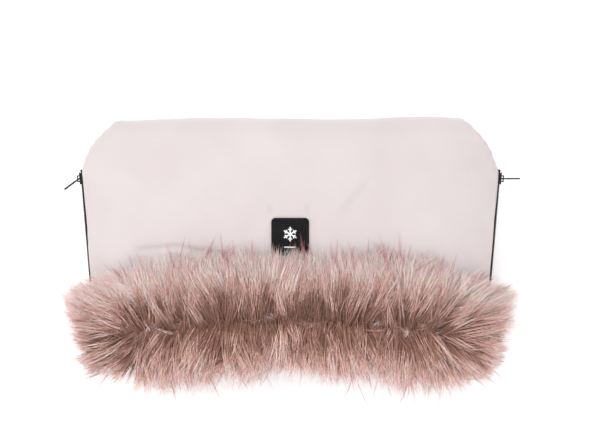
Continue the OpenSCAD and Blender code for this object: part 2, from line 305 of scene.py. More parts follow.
def ring_object(name, rings):
    """A closed solid through mirror-symmetric rings; strips from top to bottom close its ends."""
    count, around = rings.shape[:2]
    index = np.arange(count * around).reshape(count, around)
    turned = np.roll(index, -1, axis=1)
    quad = [index[:-1], turned[:-1], turned[1:], index[1:]]
    sides = np.stack([q.ravel() for q in quad], axis=1)
    half = around // 2 + 1
    ends = []
    for k in range((half - 1) // 2):
        right = [k, k + 1, half - 2 - k, half - 1 - k]
        left = [(around - j) % around for j in right[::-1]]
        for strip in (right, left):
            corners = list(dict.fromkeys(strip))
            ends.append(index[0, corners[::-1]].tolist())
            ends.append(index[-1, corners].tolist())
    return new_object(name, rings.reshape(-1, 3), sides.tolist() + ends)


def cleaned_copy(name, node):
    """A new piece with the shape of a CAD node, whose flat faces are whole again."""
    made = bpy.data.objects.new(name, frame["nodes"][node].data.copy())
    bpy.context.scene.collection.objects.link(made)
    made.data.materials.clear()
    work = bmesh.new()
    work.from_mesh(made.data)
    bmesh.ops.remove_doubles(work, verts=work.verts, dist=1e-6)
    bmesh.ops.dissolve_limit(work, angle_limit=math.radians(1), verts=work.verts, edges=work.edges)
    work.to_mesh(made.data)
    work.free()
    return made


def apply_modifiers(piece):
    evaluated = piece.evaluated_get(bpy.context.evaluated_depsgraph_get())
    mesh = bpy.data.meshes.new_from_object(evaluated)
    piece.modifiers.clear()
    piece.data = mesh


def rounded_copy(name, node, width, segments=2):
    """A copy of a hard CAD node with its edges rounded."""
    made = cleaned_copy(name, node)
    bevel = made.modifiers.new("round", "BEVEL")
    bevel.width = width * MM
    bevel.segments = segments
    bevel.limit_method = "ANGLE"
    bevel.angle_limit = math.radians(32)
    bevel.use_clamp_overlap = True
    bevel.harden_normals = False
    apply_modifiers(made)
    smooth_shaded(made.data)
    made.data.set_sharp_from_angle(angle=math.radians(38))
    return made


# ---- Materials ----


def srgb(r, g, b):
    """Scene colour from display values of 0 to 255."""
    c = np.array([r, g, b]) / 255
    return [*np.where(c <= 0.04045, c / 12.92, ((c + 0.055) / 1.055) ** 2.4).tolist(), 1.0]


class Finish:
    """A procedural material and the few kinds of detail that the pieces share."""

    def __init__(self, name, colour, roughness, metallic=0.0, sheen=0.0, specular=0.5):
        self.made = bpy.data.materials.new(name)
        self.made.use_nodes = True
        self.made.diffuse_color = colour
        self.nodes = self.made.node_tree.nodes
        self.links = self.made.node_tree.links
        self.shader = self.nodes["Principled BSDF"]
        self.set("Base Color", colour)
        self.set("Roughness", roughness)
        self.set("Metallic", metallic)
        self.set("Sheen Weight", sheen)
        self.set("Specular IOR Level", specular)
        self.normal = None

    def set(self, socket, value):
        self.shader.inputs[socket].default_value = value

    def node(self, kind, **values):
        made = self.nodes.new(kind)
        for key, value in values.items():
            if key in made.inputs:
                made.inputs[key].default_value = value
            else:
                setattr(made, key, value)
        return made

    def coordinates(self, flat=False):
        if flat:
            return self.node("ShaderNodeUVMap", uv_map="FlatCloth").outputs["UV"]
        return self.node("ShaderNodeTexCoord").outputs["Object"]

    def noise(self, size, detail=3.0, flat=False):
        """Noise whose bumps are about size metres across."""
        made = self.node("ShaderNodeTexNoise", Scale=1 / size, Detail=detail)
        self.links.new(self.coordinates(flat), made.inputs["Vector"])
        return made.outputs["Fac"]

    def vary(self, socket, signal, low, high, span=(0.3, 0.7)):
        """Drives a colour or a number of the shader by a signal, between two values."""
        colour = isinstance(low, list)
        ramp = self.node("ShaderNodeMapRange")
        ramp.inputs["From Min"].default_value = span[0]
        ramp.inputs["From Max"].default_value = span[1]
        self.links.new(signal, ramp.inputs["Value"])
        if not colour:
            ramp.inputs["To Min"].default_value = low
            ramp.inputs["To Max"].default_value = high
            self.links.new(ramp.outputs["Result"], self.shader.inputs[socket])
            return
        blend = self.node("ShaderNodeMix", data_type="RGBA")
        blend.inputs[6].default_value = low
        blend.inputs[7].default_value = high
        self.links.new(ramp.outputs["Result"], blend.inputs["Factor"])
        self.links.new(blend.outputs[2], self.shader.inputs[socket])

    def bump(self, signal, height, strength=1.0):
        """Adds relief of that height in metres."""
        made = self.node("ShaderNodeBump", Strength=strength, Distance=height)
        self.links.new(signal, made.inputs["Height"])
        if self.normal is not None:
            self.links.new(self.normal, made.inputs["Normal"])
        self.normal = made.outputs["Normal"]
        self.links.new(self.normal, self.shader.inputs["Normal"])

    def weave(self, pitch, height):
        """Crossing threads, one every pitch metres along the flat cloth."""
        split = self.node("ShaderNodeSeparateXYZ")
        self.links.new(self.coordinates(flat=True), split.inputs[0])
        waves = []
        for axis in ("X", "Y"):
            scaled = self.node("ShaderNodeMath", operation="MULTIPLY")
            scaled.inputs[1].default_value = math.tau / pitch
            self.links.new(split.outputs[axis], scaled.inputs[0])
            wave = self.node("ShaderNodeMath", operation="SINE")
            self.links.new(scaled.outputs[0], wave.inputs[0])
            waves.append(wave.outputs[0])
        both = self.node("ShaderNodeMath", operation="MULTIPLY")
        self.links.new(waves[0], both.inputs[0])
        self.links.new(waves[1], both.inputs[1])
        self.bump(both.outputs[0], height)


def shell_finish():
    f = Finish("shell_cloth", srgb(207, 197, 197), 0.56, sheen=0.2, specular=0.3)
    f.vary("Base Color", f.noise(0.07, 4), srgb(204, 193, 194), srgb(210, 200, 200))
    f.bump(f.noise(0.009, 4), 0.00025)
    f.weave(0.0006, 0.00004)
    return f.made


def lining_finish():
    f = Finish("plush_lining", srgb(222, 196, 199), 0.9, sheen=0.6, specular=0.1)
    f.vary("Base Color", f.noise(0.004, 5), srgb(205, 176, 180), srgb(232, 208, 210))
    f.bump(f.noise(0.0022, 5), 0.0011)
    return f.made


def wadding_finish():
    f = Finish("wadding", srgb(236, 234, 230), 0.95, sheen=0.3, specular=0.1)
    f.vary("Base Color", f.noise(0.006, 5), srgb(222, 219, 214), srgb(243, 241, 238))
    f.bump(f.noise(0.003, 5), 0.0008)
    return f.made


def undercoat_finish():
    f = Finish("fur_undercoat", srgb(136, 100, 88), 0.95, sheen=0.1, specular=0.05)
    f.vary("Base Color", f.noise(0.005, 5), srgb(114, 82, 70), srgb(160, 122, 108))
    f.bump(f.noise(0.002, 5), 0.0015)
    return f.made


def rubber_finish():
    f = Finish("label_rubber", srgb(15, 14, 15), 0.6, specular=0.15)
    f.vary("Base Color", f.noise(0.012, 4), srgb(9, 8, 9), srgb(20, 19, 20))
    f.vary("Roughness", f.noise(0.003, 3), 0.52, 0.72)
    f.bump(f.noise(0.0006, 2), 0.00005)
    return f.made


def emblem_finish():
    f = Finish("emblem_rubber", srgb(240, 240, 240), 0.5, specular=0.4)
    f.vary("Base Color", f.noise(0.004, 3), srgb(228, 227, 226), srgb(246, 246, 246))
    f.bump(f.noise(0.0008, 2), 0.00004)
    return f.made


def thread_finish(name, low, high):
    f = Finish(name, low, 0.7, sheen=0.3, specular=0.2)
    f.vary("Base Color", f.noise(0.0012, 3), low, high)
    f.bump(f.noise(0.0005, 2), 0.00012)
    return f.made


def tape_finish():
    f = Finish("zip_tape", srgb(30, 29, 30), 0.85, sheen=0.15, specular=0.2)
    f.vary("Base Color", f.noise(0.0015, 4), srgb(22, 21, 22), srgb(42, 40, 41))
    f.bump(f.noise(0.0007, 3), 0.00015)
    return f.made


def plastic_finish():
    f = Finish("zip_plastic", srgb(28, 27, 27), 0.38, specular=0.5)
    f.vary("Base Color", f.noise(0.006, 3), srgb(22, 21, 21), srgb(38, 35, 34))
    f.vary("Roughness", f.noise(0.002, 3), 0.3, 0.5)
    f.bump(f.noise(0.0009, 2), 0.00003)
    return f.made


def metal_finish():
    f = Finish("zip_metal", srgb(46, 45, 46), 0.34, metallic=0.85)
    f.vary("Base Color", f.noise(0.003, 4), srgb(34, 33, 34), srgb(66, 64, 64))
    f.vary("Roughness", f.noise(0.0014, 4), 0.26, 0.48)
    f.bump(f.noise(0.001, 2), 0.00003)
    return f.made


SHELL_CLOTH = shell_finish()
LINING_PLUSH = lining_finish()
WADDING = wadding_finish()
UNDERCOAT = undercoat_finish()
LABEL_RUBBER = rubber_finish()
EMBLEM_RUBBER = emblem_finish()
BLACK_THREAD = thread_finish("black_thread", srgb(26, 25, 26), srgb(52, 50, 51))
PINK_THREAD = thread_finish("pink_thread", srgb(214, 192, 195), srgb(238, 222, 224))
ZIP_TAPE = tape_finish()
ZIP_PLASTIC = plastic_finish()
ZIP_METAL = metal_finish()


def wear(piece, finish, body=None, replaces=()):
    piece.data.materials.clear()
    piece.data.materials.append(finish)
    if body:
        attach(piece, body)
    if replaces:
        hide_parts(*replaces)


def bend(piece):
    """The piece crosses the fold, so it rides with neither half: its transform is baked into its mesh.
    """
    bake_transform(piece)


# ---- Outer shell ----

SHELL_THICK = 0.8
SET_IN = 0.4
TABLE_GAP = 0.3
# Radius of the turned edge along the zips, and of the padded edge at the arm openings
HEM_ROLL = 1.0
OPENING_ROLL = 6.3
# Angle that the turned edge curls through, in this many steps
ROLL_TURN = math.radians(170)
ROLL_STEPS = 6

# Relief of the shell: slow waves, puckers beside the zips, gathers round the arm openings,
# folds that run up from under the fur, and a pucker above each upper corner of the label
WAVES = 1.0
SMALL_WAVES = 0.35
PUCKERS = 0.75
PUCKER_PITCH = 11
PUCKER_REACH = 13
GATHERS = 0.9
GATHER_PITCH = 13
GATHER_REACH = 17
FUR_FOLDS = 0.55
LABEL_PUCKERS = -2.3
# Creases of the front half: both ends in plan, width, height
CREASES = (
    ((-172, 4), (-108, 10), 2.6, -2.6),
    ((-134, 11), (-48, -5), 2.6, -2.6),
    ((44, 44), (84, 90), 6, 1.9),
    ((53, 41), (93, 85), 5, -1.4),
)


def shell_section(path, shares):
    """Right half of the shell's section: over the crown, then round the turned edge."""
    opened = path.open[:, None]
    roll = mix(HEM_ROLL, OPENING_ROLL, opened)
    start = math.pi / 2 * opened
    centre_x = path.half[:, None] - roll
    centre_h = path.edge[:, None] - roll * opened
    end_x = centre_x + roll * np.cos(start)
    end_h = centre_h + roll * np.sin(start)
    main_x = end_x * shares
    main_h = end_h + (path.depth[:, None] - end_h) * crown(shares)
    turn = start - np.linspace(0, ROLL_TURN, ROLL_STEPS + 1)[1:]
    roll_x = centre_x + roll * np.cos(turn)
    roll_h = centre_h + roll * np.sin(turn)
    return np.concatenate([main_x, roll_x], axis=1), np.concatenate([main_h, roll_h], axis=1)


def dent(x, y, start, end, width):
    """1 on a line in plan, falling off to 0 over its width, and soft at both of its ends."""
    start, end = np.array(start, float), np.array(end, float)
    way = end - start
    length = np.linalg.norm(way)
    t = ((x - start[0]) * way[0] + (y - start[1]) * way[1]) / length**2
    off = ((x - start[0]) * way[1] - (y - start[1]) * way[0]) / length
    inside = smooth(t * 3) * smooth((1 - t) * 3)
    return np.exp(-((off / width) ** 2)) * inside


def shell_relief(points, path, from_edge):
    """How far the cloth stands out of its plain shape, in millimetres."""
    x, y = points[..., 0], points[..., 1]
    along = path.along[:, None] + 0 * x
    opened = path.open[:, None] + 0 * x
    front = (path.side == FRONT)[:, None] & (path.angle < 0.6)[:, None]
    relief = WAVES * ripple(x, along, scale=75, seed=3)
    relief += SMALL_WAVES * ripple(x, along, scale=28, seed=4)
    drift = 5 * ripple(x * 0, along, scale=40, seed=5)
    hand = np.sign(x)
    uneven = 0.6 + 0.4 * ripple(x * 0, along, scale=30, seed=6)
    pucker = np.sin((along + drift) * math.tau / PUCKER_PITCH + hand * 1.3) * uneven
    # The turned edge itself stays straight beside the zip
    beside = smooth((from_edge - 3) / 6) * np.exp(-from_edge / PUCKER_REACH)
    relief += PUCKERS * pucker * beside * (1 - smooth(opened * 3))
    uneven = 0.7 + 0.3 * ripple(x * 0, along, scale=35, seed=7)
    gather = np.sin((along + drift) * math.tau / GATHER_PITCH + hand) * uneven
    relief += GATHERS * (gather - 0.6) * np.exp(-from_edge / GATHER_REACH) * smooth(opened * 4)
    lean = x + 0.25 * hand * (y - LIP_Y)
    folds = ripple(lean, y * 0.12, scale=17, seed=8) * smooth((30 - y) / 60)
    relief += np.where(front, FUR_FOLDS * folds, 0)
    for start, end, width, height in CREASES:
        relief += np.where(front, height * dent(x, y, start, end, width), 0)
    for corner in (-1, 1):
        foot = (corner * (LABEL_HALF - 1), LABEL_Y + LABEL_HALF)
        head = (corner * (LABEL_HALF + 1), LABEL_Y + LABEL_HALF + 16)
        relief += np.where(front, LABEL_PUCKERS * dent(x, y, foot, head, 2.4), 0)
    return relief


def make_shell():
    path = Path(flat_step=2.6, arc_rows=30)
    x, h = mirrored(*shell_section(path, crown_shares(98)))
    points = path.place(x, h)
    run = run_along(points, 1)
    from_edge = np.maximum(np.minimum(run, run[:, -1:] - run) - 8 * path.open[:, None], 0)
    normals = outward_normals(points)
    relief = shell_relief(points, path, from_edge)
    # Under the label the cloth lies flat
    near_label = np.maximum(np.abs(x), np.abs(points[..., 1] - LABEL_Y)) - LABEL_HALF
    flat = smooth(near_label / 8) + (path.side == BACK)[:, None] + (path.angle > 0)[:, None]
    relief *= np.clip(flat, 0, 1)
    # Set in by part of the relief's height, so that the shell keeps its CAD size
    outer = points + normals * (relief - SET_IN)[..., None]
    outer[..., 2] = mix(LABEL_LOW[2] - 0.1, outer[..., 2], np.clip(flat, 0, 1))
    outer[..., 2] = np.maximum(outer[..., 2], TABLE_GAP)
    inner = outer - normals * SHELL_THICK
    inner[..., 2] = np.maximum(inner[..., 2], TABLE_GAP + SHELL_THICK)
    shell = sheet_object("outer_shell", outer, inner)
    wear(shell, SHELL_CLOTH, replaces=("outer_shell_front", "outer_shell_back"))
    bend(shell)
    return outer


# The padding ends this far inside the lips, behind the turned-up lining
LIP_FACING = 3.0
# Where the arm openings begin the lining turns over, so there it's drawn back and up
DRAW_BACK = 34
DRAW_UP = 0.62


def make_padding():
    path = Path(flat_step=7, arc_rows=14, start=LIP_Y + LIP_FACING)
    shares = crown_shares(30)
    opened = path.open[:, None]
    radius = mix(2.8, 3.2, opened)
    drawn_back = DRAW_BACK * opened * (1 - opened)
    centre_x = path.half[:, None] - mix(10.0, OPENING_ROLL + 6.5, opened) - drawn_back
    centre_h = mix(HEM_H + 3.2, path.edge[:, None] - OPENING_ROLL - 1.2, opened)
    centre_h = centre_h + DRAW_UP * drawn_back
    start = mix(math.radians(40), math.pi / 2, opened)
    turn = start - np.linspace(0, math.pi, 7)
    edge_x = centre_x + radius * np.cos(turn)
    edge_h = centre_h + radius * np.sin(turn)
    faces = []
    for column, drop in ((0, PADDING_TOP + 2.4), (-1, PADDING_LOW)):
        end_x, end_h = edge_x[:, column, None], edge_h[:, column, None]
        top = path.depth[:, None] - drop
        faces.append((end_x * shares, end_h + (top - end_h) * crown(shares)))
    (top_x, top_h), (low_x, low_h) = faces
    half_x = np.concatenate([top_x[:, :-1], edge_x, low_x[:, -2::-1]], axis=1)
    half_h = np.concatenate([top_h[:, :-1], edge_h, low_h[:, -2::-1]], axis=1)
    ring_x = np.concatenate([half_x, -half_x[:, -2:0:-1]], axis=1)
    ring_h = np.concatenate([half_h, half_h[:, -2:0:-1]], axis=1)
    rings = path.place(ring_x, ring_h)
    padding = ring_object("padding", rings)
    wear(padding, WADDING, replaces=("padding_front", "padding_back"))
    bend(padding)


def lining_half(path, shares, drop, zip_inset, tip_rise):
    """Right half of one face of the lining, with its narrow hem towards the zip."""
    opened = path.open[:, None]
    end_x = path.half[:, None] - mix(zip_inset, OPENING_ROLL + 1, opened)
    end_h = mix(HEM_H + tip_rise, path.edge[:, None] - drop, opened)
    main_x = end_x * shares
    main_h = end_h + (path.depth[:, None] - drop - end_h) * crown(shares)
    # Round the arm openings the lining meets the shell's turned edge
    roll = mix(HEM_ROLL, OPENING_ROLL, opened)
    turn = math.pi / 2 * opened - ROLL_TURN
    roll_x = path.half[:, None] - roll + roll * np.cos(turn)
    roll_h = path.edge[:, None] - roll * opened + roll * np.sin(turn)
    met = smooth(opened * 5)
    tip_x = mix(path.half[:, None] - 3.4, roll_x - 0.3, met)
    tip_h = mix(HEM_H + tip_rise, roll_h + 0.3 - (drop - LINING_TOP) * 0.7, met)
    hem = np.linspace(0, 1, 4)[1:]
    return (
        np.concatenate([main_x, mix(end_x, tip_x, hem)], axis=1),
        np.concatenate([main_h, mix(end_h, tip_h, hem)], axis=1),
    )


# The turned-up lining stops this far short of the shell's outer face
FACING_DROP = 1.8
# How far its outer and its inner face are shifted towards the fold
FACING_SHIFTS = (1.6, -0.2)
FACING_ROWS = (0.15, 0.4, 0.7, 1.0)


def lip_facing(path, outer, inner, row, side):
    """Rows that turn the lining up over the end of the padding, as far as the shell."""
    share = np.clip(np.abs(outer[row, :, 0]) / path.half[row], 0, 1)
    top = path.edge[row] + (path.depth[row] - path.edge[row]) * crown(share) - FACING_DROP
    made = []
    for grid, shift in zip((outer, inner), FACING_SHIFTS):
        low = side * (grid[row, :, 2] - ZIP_Z)
        rows = []
        for t in FACING_ROWS:
            turned = grid[row].copy()
            turned[:, 1] += shift
            turned[:, 2] = ZIP_Z + side * (low + np.maximum(top - low, 0) * t)
            rows.append(turned)
        made.append(np.array(rows))
    return made


def make_lining():
    path = Path(flat_step=4, arc_rows=24)
    shares = crown_shares(52)
    outer_half = lining_half(path, shares, drop=LINING_TOP, zip_inset=13.0, tip_rise=1.0)
    inner_half = lining_half(path, shares, drop=LINING_LOW - 0.4, zip_inset=14.6, tip_rise=-0.4)
    outer = path.place(*mirrored(*outer_half))
    inner = path.place(*mirrored(*inner_half))
    x = outer[..., 0]
    grain = 0.35 * ripple(x, path.along[:, None] + 0 * x, scale=6, seed=21, waves=12)
    inner += grid_normals(outer) * grain[..., None]
    fronts = lip_facing(path, outer, inner, 0, FRONT)
    backs = lip_facing(path, outer, inner, -1, BACK)
    outer = np.concatenate([fronts[0][::-1], outer, backs[0]])
    inner = np.concatenate([fronts[1][::-1], inner, backs[1]])
    lining = sheet_object("lining", outer, inner)
    wear(lining, LINING_PLUSH, replaces=("lining_front", "lining_back"))
    bend(lining)


# ---- Seams ----


# Rings of one stitch: share of its length, share of its radius, lift off the cloth
STITCH_RINGS = ((0, 0.5, -0.15), (0.2, 1, 0.12), (0.8, 1, 0.12), (1, 0.5, -0.15))
STITCH_AROUND = 6
# Columns between the seam and the start of the turned edge
SEAM_INSET = 3


def point_at(points, run, at):
    return np.array([np.interp(at, run, points[:, i]) for i in range(3)])


def stitch_rows(name, lines, finish, pitch=3.3, length=2.4, radius=0.3):
    """Stitches along lines of (points, normals), each a short rounded bar that dips in at its ends."""
    verts, faces = [], []
    around = STITCH_AROUND
    for points, normals in lines:
        run = run_along(points, 0)
        for start in np.arange(pitch, run[-1] - pitch, pitch):
            first = len(verts)
            for share, size, lift in STITCH_RINGS:
                at = start + share * length
                place = point_at(points, run, at)
                up = point_at(normals, run, at)
                up /= np.linalg.norm(up)
                ahead = point_at(points, run, at + 0.5) - place
                side = np.cross(up, ahead)
                side /= max(np.linalg.norm(side), 1e-9)
                for k in range(around):
                    turn = math.tau * k / around
                    ring = side * math.cos(turn) + up * math.sin(turn)
                    verts.append(place + up * lift + ring * radius * size)
            last = len(verts) - around
            for low in range(first, last, around):
                for k in range(around):
                    a, b = low + k, low + (k + 1) % around
                    faces.append([a, b, b + around, a + around])
            faces.append([first + k for k in range(around)][::-1])
            faces.append([last + k for k in range(around)])
    made = new_object(name, np.array(verts), faces)
    wear(made, finish)
    bend(made)


def make_seams(outer):
    """Topstitching round the arm openings and along the hems at the zips."""
    normals = outward_normals(outer)
    seam = ROLL_STEPS + SEAM_INSET
    columns = (seam, outer.shape[1] - 1 - seam)
    lines = [(outer[:, column], normals[:, column]) for column in columns]
    stitch_rows("edge_stitching", lines, PINK_THREAD)


# ---- Fur ----

LIP_HALF = half_width(LIP_Y - LIP_BOW)
# The parting lies this far behind the lip, and the backing reaches this far behind the parting
PARTING_BACK = 15.0
BACKING_REACH = 34.0
BACKING_THICK = 1.0
# The parting runs this far to both sides before the hair fans out round its end
SPINE_HALF = 150.0

TONES = {
    "root": [(160, 114, 98), (136, 96, 82), (180, 134, 117)],
    "mid": [(222, 176, 162), (204, 156, 144), (236, 192, 180)],
    "light": [(255, 236, 230), (255, 226, 218), (255, 246, 242)],
    "tip": [(255, 208, 206), (244, 172, 178), (255, 232, 228)],
    "wisp": [(196, 98, 116), (214, 126, 138), (178, 82, 100)],
}
TONE_SHEEN = {"root": 0.15, "mid": 0.5, "light": 0.9, "tip": 0.9, "wisp": 0.3}
TONE_NAMES = list(TONES)
# Colours of each tone
VARIANTS = 3


def fur_finishes():
    made = []
    for name, colours in TONES.items():
        for i, colour in enumerate(colours):
            f = Finish(f"fur_{name}_{i + 1}", srgb(*colour), 0.45, sheen=TONE_SHEEN[name], specular=0.4)
            f.set("Sheen Tint", (1.0, 0.86, 0.82, 1.0))
            made.append(f.made)
    return made


FUR_TONES = fur_finishes()

# Stretches along a strand, corners round it, and its share of the width at each stretch
SEGMENTS = 5
AROUND = 3
TAPER = np.array([0.75, 1.0, 1.0, 0.85, 0.55])

# How many locks of the front trim there are of each kind, and hairs in each
LOCKS = 2900
LOCK_HAIRS = 13
CROSSING_LOCKS = 700
CROSSING_HAIRS = 10
WISP_LOCKS = 170
WISP_HAIRS = 4
# The back trim has one lock for this many of the front trim
BACK_SHARE = 5


def strand_object(name, lines, widths, tones):
    """Closed tapering strands. lines holds SEGMENTS + 1 points of each, tones its materials."""
    count = len(lines)
    way = unit(np.gradient(lines, axis=1))[:, :SEGMENTS]
    side = unit(np.cross(way, np.array([0.31, 0.17, 0.94])))
    up = np.cross(way, side)
    turn = math.tau * np.arange(AROUND) / AROUND
    ring = side[:, :, None] * np.cos(turn)[:, None] + up[:, :, None] * np.sin(turn)[:, None]
    body = lines[:, :SEGMENTS, None] + ring * (widths[:, None] * TAPER)[..., None, None]
    verts = np.concatenate([body.reshape(count, -1, 3), lines[:, -1:]], axis=1)
    each = SEGMENTS * AROUND + 1
    quads = []
    for s in range(SEGMENTS - 1):
        for k in range(AROUND):
            a, b = s * AROUND + k, s * AROUND + (k + 1) % AROUND
            quads.append([a, b, b + AROUND, a + AROUND])
    last = (SEGMENTS - 1) * AROUND
    triangles = [[last + k, last + (k + 1) % AROUND, each - 1] for k in range(AROUND)] + [[2, 1, 0]]
    pattern = np.concatenate([np.ravel(quads), np.ravel(triangles)])
    sizes = np.array([4] * len(quads) + [3] * len(triangles))
    stretch = [s for s in range(SEGMENTS - 1) for _ in range(AROUND)] + [SEGMENTS - 1] * AROUND + [0]
    mesh = bpy.data.meshes.new(name)
    mesh.vertices.add(count * each)
    mesh.vertices.foreach_set("co", (verts * MM).astype(np.float32).ravel())
    loops = (pattern[None] + each * np.arange(count)[:, None]).ravel()
    mesh.loops.add(len(loops))
    mesh.loops.foreach_set("vertex_index", loops.astype(np.int32))
    all_sizes = np.tile(sizes, count)
    mesh.polygons.add(len(all_sizes))
    loop_start = np.concatenate([[0], np.cumsum(all_sizes)[:-1]])
    mesh.polygons.foreach_set("loop_start", loop_start.astype(np.int32))
    for finish in FUR_TONES:
        mesh.materials.append(finish)
    mesh.polygons.foreach_set("material_index", tones[:, stretch].astype(np.int32).ravel())
    smooth_shaded(mesh)
    mesh.update(calc_edges=True)
    made = bpy.data.objects.new(name, mesh)
    bpy.context.scene.collection.objects.link(made)
    return made


def backing(x, run, side):
    """Points of the fur's backing. run is 0 at the parting and grows over the panel."""
    share = np.clip(np.abs(x) / LIP_HALF, 0, 1)
    over = np.clip(run + PARTING_BACK, 0, None)
    base = LIP_Y + over
    y = base - bow_at(base) * share**2
    top = panel_top(x, y, side)
    down = np.clip(-(run + PARTING_BACK), 0, None)
    h = np.maximum(top - down, np.minimum(top, HEM_H + 1))
    y = y - np.minimum(down * 0.6, 2.5)
    return np.stack([x, y, ZIP_Z + side * (h + BACKING_THICK)], axis=-1)


def upper_edge(x):
    """Where the long hair ends on the panel: level in the middle, falling to the ends."""
    from_fold, fall, level_half, fall_run = 144, 38, 100, 129
    beyond = np.clip(np.abs(x) - level_half, 0, None) / fall_run
    return FOLD_Y - from_fold - fall * beyond**1.6


def lower_edge(x):
    """Where the hair ends in front of the mouth: lowest before the ends."""
    from_fold, dip, rise, rise_start, rise_run = 281, 25, 52, 196, 33
    beyond = np.clip(np.abs(x) - rise_start, 0, None) / rise_run
    return FOLD_Y - from_fold - dip * smooth((np.abs(x) - 10) / 150) + rise * beyond**2


def side_edge(y):
    """How far the hair reaches sideways: furthest at one height, less above and below."""
    widest_half, widest_y, narrowing, narrowing_run = 258, FOLD_Y - 216, 12, 35
    return widest_half - narrowing * ((y - widest_y) / narrowing_run) ** 2


def trimmed(rng, lines):
    """Shortens locks whose tips would stand outside the outline of the fur."""
    root, tip = lines[:, 0], lines[:, -1]
    slack = rng.normal(0, 3.5, len(lines))
    scale = np.full(len(lines), 0.3)
    for s in np.linspace(0.3, 1, 15):
        p = root + (tip - root) * s
        inside = p[:, 1] < upper_edge(p[:, 0]) + slack
        inside &= p[:, 1] > lower_edge(p[:, 0]) - slack
        inside &= np.abs(p[:, 0]) < side_edge(p[:, 1]) + slack
        scale = np.where(inside, s, scale)
    return lines[:, :1] + (lines - lines[:, :1]) * scale[:, None, None]


def lock_lines(rng, x, run, side, length):
    """Centre lines of locks of hair: they stand up at the parting and lie down away from it."""
    roots = backing(x, run, side)
    # Past the ends of the spine the hair fans out sideways
    past = np.sign(x) * np.maximum(np.abs(x) - SPINE_HALF, 0) * 0.75
    toss = rng.normal(0, 9, len(x))
    away = run + toss * np.exp(-((run / 14) ** 2))
    away = np.where(away < 0, -1, 1) * np.maximum(np.abs(away), 2.5)
    swirl = mix(0.46, 0.36, smooth((run + 10) / 20)) * ripple(x, run, 26, 31)
    swirl += rng.normal(0, 0.16, len(x)) + 0.22 * x / SPINE_HALF
    heading = unit(np.stack([past + swirl * np.abs(away), away], axis=-1))
    over = away > 0
    far = np.clip(np.abs(away) / 30, 0, 1)
    rise = np.where(over, mix(1.2, 0.6, far), mix(1.0, -0.3, far))
    ahead = mix(0.6, 1.0, far)
    fall = np.where(over, -0.26, mix(-0.4, -0.75, far))
    first = unit(np.concatenate([heading * ahead[:, None], side * rise[:, None]], axis=1))
    last = unit(np.concatenate([heading, side * fall[:, None]], axis=1))
    lines = [roots]
    for k in range(SEGMENTS):
        t = ((k + 0.5) / SEGMENTS) ** 0.8
        lines.append(lines[-1] + unit(mix(first, last, t)) * (length / SEGMENTS)[:, None])
    lines = np.stack(lines, axis=1)
    # A gentle curl across the heading
    size = rng.normal(0, 2.6, len(x)) * np.where(rng.random(len(x)) < 0.18, 2.6, 1)
    turns = rng.uniform(2.2, 4.2, (len(x), 1))
    curl = size[:, None] * np.sin(np.linspace(0, 1, SEGMENTS + 1) * turns)
    lines[..., 0] += curl * heading[:, None, 1]
    lines[..., 1] -= curl * heading[:, None, 0]
    return lines


# Beside the zips the hair stays this far from their plane, so that the sliders are free
ZIP_CLEARANCE = 7.5
# The longest wisps stay within the room that fabric may take beyond the CAD box
WISP_ROOM = 16
HAIR_TABLE_GAP = 0.4


def keep_clear(lines, side, clearance):
    """Keeps hair above the panel and the table, and off the zips."""
    x, y, z = lines[..., 0], lines[..., 1], lines[..., 2]
    height = side * (z - ZIP_Z)
    least = panel_top(x, np.clip(y, LIP_Y - LIP_BOW, ARC_Y), side) + clearance
    share = np.clip(np.abs(x) / LIP_HALF, 0, 1)
    behind = y > LIP_Y - LIP_BOW * share**2
    inside = np.abs(x) < half_width(np.minimum(y, ZIP_TOP_Y)) + 2
    height = np.where(behind & inside, np.maximum(height, least), height)
    beside = smooth((np.abs(x) - LIP_HALF + 26) / 16)
    height = np.maximum(height, mix(-80, ZIP_CLEARANCE, beside))
    lines[..., 2] = np.clip(ZIP_Z + side * height, HAIR_TABLE_GAP, None)
    lines[..., 1] = np.maximum(y, CAD_BOX[0][1] / MM - WISP_ROOM)
    return lines


def fur(rng, locks, side, reach_over, reach_round, length_mean):
    """All strands of one trim: their centre lines, widths and tones."""
    x = rng.uniform(-1.03, 1.03, locks) * LIP_HALF
    # Half of the locks on each side of the parting
    run = np.interp(rng.random(locks), (0, 0.5, 1), (-PARTING_BACK - reach_round, 0, reach_over))
    run = run + 6 * ripple(x, 0 * x, 60, 41) * np.exp(-((run / 20) ** 2))
    length = length_mean * rng.uniform(0.85, 1.15, locks) * (1 + 0.08 * ripple(x, run, 35, 42))
    length *= 1 + 0.22 * smooth(np.abs(x) / LIP_HALF * 4 - 3)
    centres = trimmed(rng, lock_lines(rng, x, run, side, length))
    t = np.linspace(0, 1, SEGMENTS + 1)
    strands = locks * LOCK_HAIRS
    lock = np.repeat(np.arange(locks), LOCK_HAIRS)
    spread = rng.normal(0, 1, (strands, 3)) * np.array([3.6, 3.0, 1.2])
    close = 1 - 0.6 * t**1.1
    scale = rng.uniform(0.74, 1.1, strands)
    roots = centres[lock][:, :1]
    lines = roots + (centres[lock] - roots) * scale[:, None, None]
    lines = lines + spread[:, None] * close[:, None]
    stray = rng.normal(0, 1, (strands, 3)) * 1.7
    lines = lines + stray[:, None] * (t**2)[:, None]
    lines = keep_clear(lines, side, 1.6)
    widths = rng.uniform(0.22, 0.38, strands)
    return lines, widths, tones_of(rng, lock, run, x, locks)


def tone_row(names):
    return np.array([TONE_NAMES.index(name) for name in names])


# Tones from root to tip, from each level of shade on: dark near the parting, pale away from it
TONE_PLAN = (
    (-9.0, ("root", "root", "root", "mid", "light")),
    (-0.7, ("root", "root", "mid", "mid", "tip")),
    (-0.1, ("root", "root", "mid", "light", "tip")),
    (0.5, ("root", "mid", "light", "light", "tip")),
    (1.0, ("mid", "light", "light", "light", "tip")),
    (1.4, ("light", "light", "light", "light", "light")),
)


